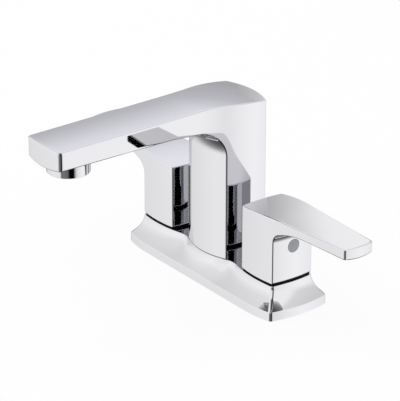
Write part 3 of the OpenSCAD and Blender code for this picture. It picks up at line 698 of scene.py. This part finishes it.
@dataclass
class DeckPlate:
    """The cast plate: an upright rim and a concave flare up to a flat top that follows what stands on it."""

    valve_x: float = 50.8
    height: float = 19.0
    rim_height: float = 5.7
    rim_half: float = 21.7
    rim_radius: float = 82.0
    pad_half: float = 15.4
    pad_radius: float = 85.3
    collar_front_apex: float = 19.05
    collar_rear_apex: float = 20.09
    collar_radius: float = 45.3
    wall: float = 2.2
    edge_radius: float = 0.4
    corner_radius: float = 1.4
    flare_rows: int = 20
    collar_steps: int = 16
    pad_steps: int = 20
    end_steps: int = 20
    notch_radius: float = 13.0
    notch_steps: int = 12
    neck_hole: float = 22.2
    nipple_hole: float = 16.4

    def pad_edge(self, x: float) -> float:
        """Half the depth of the pad's outline at a place along the plate."""
        return self.pad_half + sag(self.pad_radius, self.pad_half) - sag(self.pad_radius, x - self.valve_x)

    def rim_edge(self, x: float) -> float:
        """Half the depth of the rim's outline at a place along the plate."""
        apex = self.rim_half + sag(self.rim_radius, self.rim_half)
        return apex - (sag(self.rim_radius, x - self.valve_x) if x > self.valve_x else 0.0)

    def collar_edge(self, x: float, rear: bool) -> float:
        """Depth of the collar's outline round the column."""
        apex = self.collar_rear_apex if rear else self.collar_front_apex
        return apex - sag(self.collar_radius, x)

    def notch_centre(self, rear: bool) -> Vector:
        """Centre of the round that fills the notch between the collar and the pad."""
        apex = self.collar_rear_apex if rear else self.collar_front_apex
        collar = Vector((0.0, apex - self.collar_radius))
        pad = Vector((self.valve_x, self.pad_half + sag(self.pad_radius, self.pad_half) - self.pad_radius))
        gap = (pad - collar).length
        near, far = self.collar_radius + self.notch_radius, self.pad_radius + self.notch_radius
        along = (near ** 2 - far ** 2 + gap ** 2) / (2 * gap)
        way = (pad - collar).normalized()
        return collar + way * along + Vector((-way.y, way.x)) * math.sqrt(near ** 2 - along ** 2)

    def notch_ends(self, rear: bool) -> tuple[float, float]:
        """Where that round leaves the collar and where it meets the pad."""
        x = self.notch_centre(rear).x
        start = x * self.collar_radius / (self.collar_radius + self.notch_radius)
        return start, mix(self.valve_x, x, self.pad_radius / (self.pad_radius + self.notch_radius))

    def top_edge(self, x: float, rear: bool) -> float:
        """Half the depth of the top's outline, with the round in its notch."""
        start, end = self.notch_ends(rear)
        if x < start:
            return self.collar_edge(x, rear)
        if x > end:
            return self.pad_edge(x)
        centre = self.notch_centre(rear)
        return centre.y - math.sqrt(self.notch_radius ** 2 - (x - centre.x) ** 2)

    def quarter(self, rear: bool, spread: float) -> list[Vector]:
        """A quarter of the outline, from the middle to a corner, at a share of the spread to the rim."""
        start, end = self.notch_ends(rear)
        turn = 1 if rear else -1
        inner = [i / self.collar_steps * start for i in range(self.collar_steps)]
        inner += [mix(start, end, i / self.notch_steps) for i in range(self.notch_steps)]
        points = [Vector((x, turn * mix(self.top_edge(x, rear), self.rim_edge(x), spread), 0)) for x in inner]
        for i in range(self.pad_steps + 1):
            top_x = mix(end, self.valve_x + self.pad_half, i / self.pad_steps)
            foot_x = mix(end, self.valve_x + self.rim_half, i / self.pad_steps)
            depth = mix(self.pad_edge(top_x), self.rim_edge(foot_x), spread)
            points.append(Vector((mix(top_x, foot_x, spread), turn * depth, 0)))
        return points

    def end_face(self, spread: float) -> list[Vector]:
        """The end of the outline between its two corners."""
        points = []
        for i in range(1, self.end_steps):
            t = 2 * i / self.end_steps - 1
            top = self.pad_half + sag(self.pad_radius, self.pad_half) - sag(self.pad_radius, t * self.pad_half)
            foot = self.rim_half + sag(self.rim_radius, self.rim_half) - sag(self.rim_radius, t * self.rim_half)
            points.append(Vector((self.valve_x + mix(top, foot, spread), t * mix(self.pad_half, self.rim_half,
                                                                                 spread), 0)))
        return points

    def outline(self, spread: float) -> list[Vector]:
        """The whole outline, anticlockwise from the middle of the front."""
        right = self.quarter(False, spread) + self.end_face(spread) + self.quarter(True, spread)[::-1]
        left = [Vector((-p.x, p.y, 0)) for p in right[-2:0:-1]]
        return right + left

    def build(self) -> None:
        """Makes the plate as a shell of even wall, with its edges rounded."""
        shares = [k / self.flare_rows for k in range(self.flare_rows + 1)]
        rings = [self.outline(1.0)] + [self.outline((1 - t) ** 2) for t in shares]
        levels = [0.0] + [mix(self.rim_height, self.height, t) for t in shares]
        count = len(rings[0])
        bm = bmesh.new()
        add_sheet(
            bm, len(rings) - 1, count,
            lambda i, j: Vector((rings[i][j % count].x, rings[i][j % count].y, levels[i])),
        )
        bmesh.ops.remove_doubles(bm, verts=bm.verts[:], dist=WELD)
        top_rim = [e for e in bm.edges if e.is_boundary and min(v.co.z for v in e.verts) > self.height - 0.01]
        bmesh.ops.contextual_create(bm, geom=top_rim)
        bmesh.ops.recalc_face_normals(bm, faces=bm.faces[:])
        top = max(bm.faces, key=lambda f: f.calc_center_median().z)
        if top.normal.z < 0:
            bmesh.ops.reverse_faces(bm, faces=bm.faces[:])
        corners = [edge for edge in sharp_edges(bm) if abs(edge.verts[0].co.z - edge.verts[1].co.z) > WELD]
        round_edges(bm, corners, self.corner_radius, 4)
        round_edges(bm, sharp_edges(bm), self.edge_radius, 3)
        piece = mesh_object("plate_shell", bm)
        thick = piece.modifiers.new("Cast wall", "SOLIDIFY")
        thick.thickness = self.wall * MM
        thick.offset = -1.0
        holes = bmesh.new()
        for x, diameter in ((-self.valve_x, self.neck_hole), (0.0, self.nipple_hole), (self.valve_x, self.neck_hole)):
            add_disc_bar(holes, diameter, Vector((x, 0, self.rim_height)), Vector((x, 0, 2 * self.height)))
        combine(piece, holes, "DIFFERENCE")
        finish_piece(piece, CHROME, "root", "chrome", "deck_plate")


class Hardware:
    """The nodes that keep the CAD model's own shape and get their finish."""

    def dress_all(self) -> None:
        """Gives each node the finish of its slot."""
        slots = {part["node"]: part["material_slot"] for part in frame["record"]["subparts"]}
        for name, piece in frame["nodes"].items():
            dress(piece, SLOT_FINISHES[slots[name]])
            LOG.info("dressed %s", name)


@dataclass
class Studio:
    """Floor, light and camera.

    The tones are greys from 0 to 255 as the plate shows them. A sweep's place runs from -1 to 1: for the left and
    right how far a level direction points to the viewer's side, for the front how far it points across to the
    right, and for the others how far it points up.
    """

    camera_place: tuple[float, float, float] = (1167.67, -892.32, 711.46)
    camera_target: tuple[float, float, float] = (-26.90, 0.0, 38.285)
    camera_roll: float = -0.075
    focal_pixels: float = 2604.82
    long_side_pixels: float = 401.0
    sensor: float = 36.0
    floor_side: float = 12000.0
    floor_gap: float = 0.05
    left_sweep: tuple[tuple[float, int], ...] = (
        (-1.0, 198), (-0.94, 205), (-0.77, 219), (-0.50, 227), (-0.17, 233), (0.17, 237), (0.50, 243))
    left_above: tuple[tuple[float, int], ...] = (
        (-1.0, 245), (-0.42, 245), (-0.22, 254), (0.02, 255), (0.15, 249), (0.40, 239), (1.0, 237))
    right_sweep: tuple[tuple[float, int], ...] = (
        (-1.0, 196), (-0.94, 206), (-0.77, 216), (-0.17, 230), (0.17, 239), (0.50, 234), (0.80, 238))
    right_above: tuple[tuple[float, int], ...] = ((-1.0, 255), (0.0, 255), (0.12, 248), (0.35, 226), (1.0, 224))
    rear_sweep: tuple[tuple[float, int], ...] = (
        (-1.0, 122), (-0.50, 146), (-0.30, 150), (-0.05, 166), (0.17, 158), (0.28, 172), (0.34, 180), (0.41, 198),
        (0.47, 214), (0.55, 225), (1.0, 231))
    front_sweep: tuple[tuple[float, int], ...] = (
        (-1.0, 230), (-0.66, 224), (-0.56, 100), (-0.41, 112), (0.0, 96), (0.12, 8), (0.51, 6), (0.60, 150),
        (0.72, 214), (0.90, 232), (1.0, 239))
    front_above: tuple[tuple[float, int], ...] = (
        (-1.0, 232), (0.04, 226), (0.12, 30), (0.46, 16), (0.58, 190), (0.80, 232), (1.0, 236))
    # below is painted shade: the world's lower half darkens for steeper downward directions, standing in for the
    # shade of the floor near the object, which the plate mirrors in place of the floor.
    below: tuple[tuple[float, int], ...] = (
        (-1.0, 66), (-0.92, 72), (-0.82, 108), (-0.70, 164), (-0.56, 240), (-0.48, 255), (1.0, 255))
    rear_tint: tuple[float, float, float] = (0.985, 0.985, 1.035)
    card_corner: tuple[float, float, float] = (-118.0, 110.0, 84.0)
    card_size: tuple[float, float] = (130.0, 82.0)
    card_sweep: tuple[tuple[float, int], ...] = (
        (-1.0, 165), (-0.74, 176), (-0.57, 185), (-0.38, 196), (-0.21, 206), (-0.08, 214), (0.05, 221),
        (0.17, 226), (0.31, 230), (1.0, 233))

    def build_camera(self) -> None:
        """Sets the camera at the photograph's viewing angle."""
        data = bpy.data.cameras.new("camera")
        data.sensor_width = self.sensor
        data.lens = self.focal_pixels * self.sensor / self.long_side_pixels
        data.clip_start, data.clip_end = 0.01, 50.0
        camera = bpy.data.objects.new("camera", data)
        place, target = Vector(self.camera_place) * MM, Vector(self.camera_target) * MM
        look = (target - place).to_track_quat("-Z", "Y").to_matrix().to_4x4()
        camera.matrix_world = Matrix.Translation(place) @ look @ Matrix.Rotation(
            math.radians(-self.camera_roll), 4, "Z")
        bpy.context.scene.collection.objects.link(camera)
        bpy.context.scene.camera = camera

    def build_floor(self) -> None:
        """Lays a pale floor at the deck's height that keeps the object's shadow."""
        bm = bmesh.new()
        bmesh.ops.create_grid(bm, x_segments=1, y_segments=1, size=self.floor_side / 2)
        bmesh.ops.translate(bm, vec=(0, 0, -self.floor_gap), verts=bm.verts[:])
        floor = mesh_object("floor", bm)
        # Glossy rays see the world's lower half in place of the floor, with its painted floor shade.
        floor.visible_glossy = False
        made = bpy.data.materials.new("pale_floor")
        made.use_nodes = True
        tree = made.node_tree
        tree.nodes.clear()
        rays = add_node(tree, "ShaderNodeLightPath")
        share = add_node(
            tree, "ShaderNodeMath", {"operation": "MULTIPLY", 1: 0.92}, {0: rays.outputs["Is Camera Ray"]}
        )
        paint = add_node(tree, "ShaderNodeBsdfDiffuse", {"Color": linear_colour("F4F4F4")})
        glow = add_node(tree, "ShaderNodeEmission", {"Color": (1, 1, 1, 1), "Strength": 1.0})
        both = add_node(
            tree, "ShaderNodeMixShader",
            links={0: share.outputs[0], 1: paint.outputs["BSDF"], 2: glow.outputs["Emission"]},
        )
        add_node(tree, "ShaderNodeOutputMaterial", links={"Surface": both.outputs["Shader"]})
        floor.data.materials.append(made)

    def sweep_stops(self, name: str) -> list[tuple[float, tuple]]:
        """The stops of a colour ramp that goes through one of the sweeps' tones.

        Args:
            name: The sweep's field. A sweep that shades another one is a share of white, and the rest are the
                levels that the plate shows as their tones.

        Returns:
            Positions from 0 to 1 with linear colours.
        """
        full = 1.0 if name in ("left_above", "right_above", "below") else linear_colour(CHROME.colour)[0]
        tint = self.rear_tint if name == "rear_sweep" else (1.0, 1.0, 1.0)
        stops = []
        for place, tone in getattr(self, name):
            level = linear_colour(f"{tone:02X}" * 3)[0] / full
            stops.append(((place + 1) / 2, (level * tint[0], level * tint[1], level * tint[2], 1.0)))
        return stops

    def build_world(self) -> None:
        """Lights the object evenly, with a studio in tones of grey for the plate to mirror, and painted floor shade
        in its lower half.
        """
        world = bpy.data.worlds.new("studio")
        bpy.context.scene.world = world
        world.use_nodes = True
        tree = world.node_tree
        tree.nodes.clear()
        rays = add_node(tree, "ShaderNodeLightPath")
        way = add_node(tree, "ShaderNodeTexCoord").outputs["Generated"]
        toward = Vector((self.camera_place[0], self.camera_place[1], 0)).normalized()
        flat = add_node(tree, "ShaderNodeVectorMath", {"operation": "MULTIPLY", 1: (1, 1, 0)}, {0: way})
        level = add_node(
            tree, "ShaderNodeVectorMath", {"operation": "NORMALIZE"}, {0: flat.outputs["Vector"]}
        ).outputs["Vector"]
        share = {}
        for name, axis, source in (
            ("ahead", toward, level), ("across", Vector((-toward.y, toward.x, 0)), level),
            ("up", Vector((0, 0, 1)), way),
        ):
            along = add_node(
                tree, "ShaderNodeVectorMath", {"operation": "DOT_PRODUCT", 1: tuple(axis)}, {0: source}
            )
            share[name] = add_node(
                tree, "ShaderNodeMapRange", {"From Min": -1.0, "From Max": 1.0}, {"Value": along.outputs["Value"]}
            ).outputs["Result"]
        tones = {
            name: add_node(
                tree, "ShaderNodeValToRGB", {"stops": self.sweep_stops(name)}, {0: share[along]}
            ).outputs["Color"]
            for name, along in (
                ("left_sweep", "ahead"), ("left_above", "up"), ("right_sweep", "ahead"), ("right_above", "up"),
                ("rear_sweep", "up"), ("front_sweep", "across"), ("front_above", "across"), ("below", "up"),
            )
        }
        blends = {
            name: add_node(
                tree, "ShaderNodeMapRange",
                {"From Min": start, "From Max": end, "interpolation_type": "SMOOTHSTEP"}, {"Value": share[along]},
            ).outputs["Result"]
            for name, along, start, end in (
                ("right", "across", 0.40, 0.60), ("rear", "ahead", 0.14, 0.06), ("front", "ahead", 0.58, 0.70),
                ("high", "up", 0.46, 0.52), ("low", "up", 0.88, 0.80),
            )
        }

        def join(method: str, low: bpy.types.NodeSocket, high: bpy.types.NodeSocket,
                 blend: str | None = None) -> bpy.types.NodeSocket:
            """Lays one colour over another, everywhere or by a blend."""
            return add_node(
                tree, "ShaderNodeMix", {"data_type": "RGBA", "blend_type": method, 0: 1.0},
                {6: low, 7: high, **({0: blends[blend]} if blend else {})},
            ).outputs[2]

        left = join("MULTIPLY", tones["left_sweep"], tones["left_above"])
        right = join("MULTIPLY", tones["right_sweep"], tones["right_above"])
        walls = join("MIX", left, right, "right")
        walls = join("MIX", walls, tones["rear_sweep"], "rear")
        front = join("MIX", tones["front_sweep"], tones["front_above"], "low")
        front = join("MIX", tones["front_sweep"], front, "high")
        walls = join("MIX", walls, front, "front")
        # Painted shade: the walls darken towards straight down, as the floor's shade near the object for the plate to
        # mirror.
        walls = join("MULTIPLY", walls, tones["below"])
        mirrored = add_node(tree, "ShaderNodeBackground", {"Strength": 1.0}, {"Color": walls})
        plain = add_node(tree, "ShaderNodeBackground", {"Color": (0.9, 0.9, 0.9, 1), "Strength": 1.0})
        white = add_node(tree, "ShaderNodeBackground", {"Color": (1, 1, 1, 1), "Strength": 1.0})
        inner = add_node(
            tree, "ShaderNodeMixShader",
            links={0: rays.outputs["Is Glossy Ray"], 1: plain.outputs[0], 2: mirrored.outputs[0]},
        )
        outer = add_node(
            tree, "ShaderNodeMixShader",
            links={0: rays.outputs["Is Camera Ray"], 1: inner.outputs[0], 2: white.outputs[0]},
        )
        add_node(tree, "ShaderNodeOutputWorld", links={"Surface": outer.outputs[0]})

    def build_card(self) -> None:
        """Stands a graded card behind the object, out of the picture, for the right lever's top to mirror."""
        x, y, z = self.card_corner
        width, height = self.card_size
        bm = bmesh.new()
        corners = [(x, y, z), (x + width, y, z), (x + width, y, z + height), (x, y, z + height)]
        bm.faces.new([bm.verts.new(corner) for corner in corners])
        card = mesh_object("graded_card", bm)
        card.visible_camera = False
        card.visible_diffuse = False
        card.visible_shadow = False
        made = bpy.data.materials.new("graded_card_paper")
        made.use_nodes = True
        tree = made.node_tree
        tree.nodes.clear()
        place = add_node(tree, "ShaderNodeTexCoord").outputs["Object"]
        along = add_node(tree, "ShaderNodeSeparateXYZ", links={0: place}).outputs["X"]
        share = add_node(
            tree, "ShaderNodeMapRange", {"From Min": x * MM, "From Max": (x + width) * MM}, {"Value": along}
        )
        tone = add_node(
            tree, "ShaderNodeValToRGB", {"stops": self.sweep_stops("card_sweep")},
            {0: share.outputs["Result"]},
        )
        glow = add_node(tree, "ShaderNodeEmission", {"Strength": 1.0}, {"Color": tone.outputs["Color"]})
        add_node(tree, "ShaderNodeOutputMaterial", links={"Surface": glow.outputs["Emission"]})
        card.data.materials.append(made)

    def build_lamp(self) -> None:
        """Hangs one large soft lamp above and to the left."""
        data = bpy.data.lights.new("softbox", "AREA")
        data.shape, data.size, data.energy = "SQUARE", 0.9, 5.0
        lamp = bpy.data.objects.new("softbox", data)
        lamp.visible_glossy = False
        place = Vector((-0.7, -0.5, 1.5))
        lamp.matrix_world = Matrix.Translation(place) @ (-place).to_track_quat("-Z", "Y").to_matrix().to_4x4()
        bpy.context.scene.collection.objects.link(lamp)

    def build(self) -> None:
        """Builds the whole studio."""
        self.build_camera()
        self.build_floor()
        self.build_world()
        self.build_card()
        self.build_lamp()
        bpy.context.scene.view_settings.view_transform = "Standard"


def main() -> None:
    """Builds the studio and dresses the object."""
    logging.basicConfig(level=logging.INFO, format="%(name)s: %(message)s")
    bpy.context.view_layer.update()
    Studio().build()
    Hardware().dress_all()
    DeckPlate().build()
    Spout().build()
    for side in Side:
        LeverHandle(side).build()


if __name__ == "__main__":
    main()
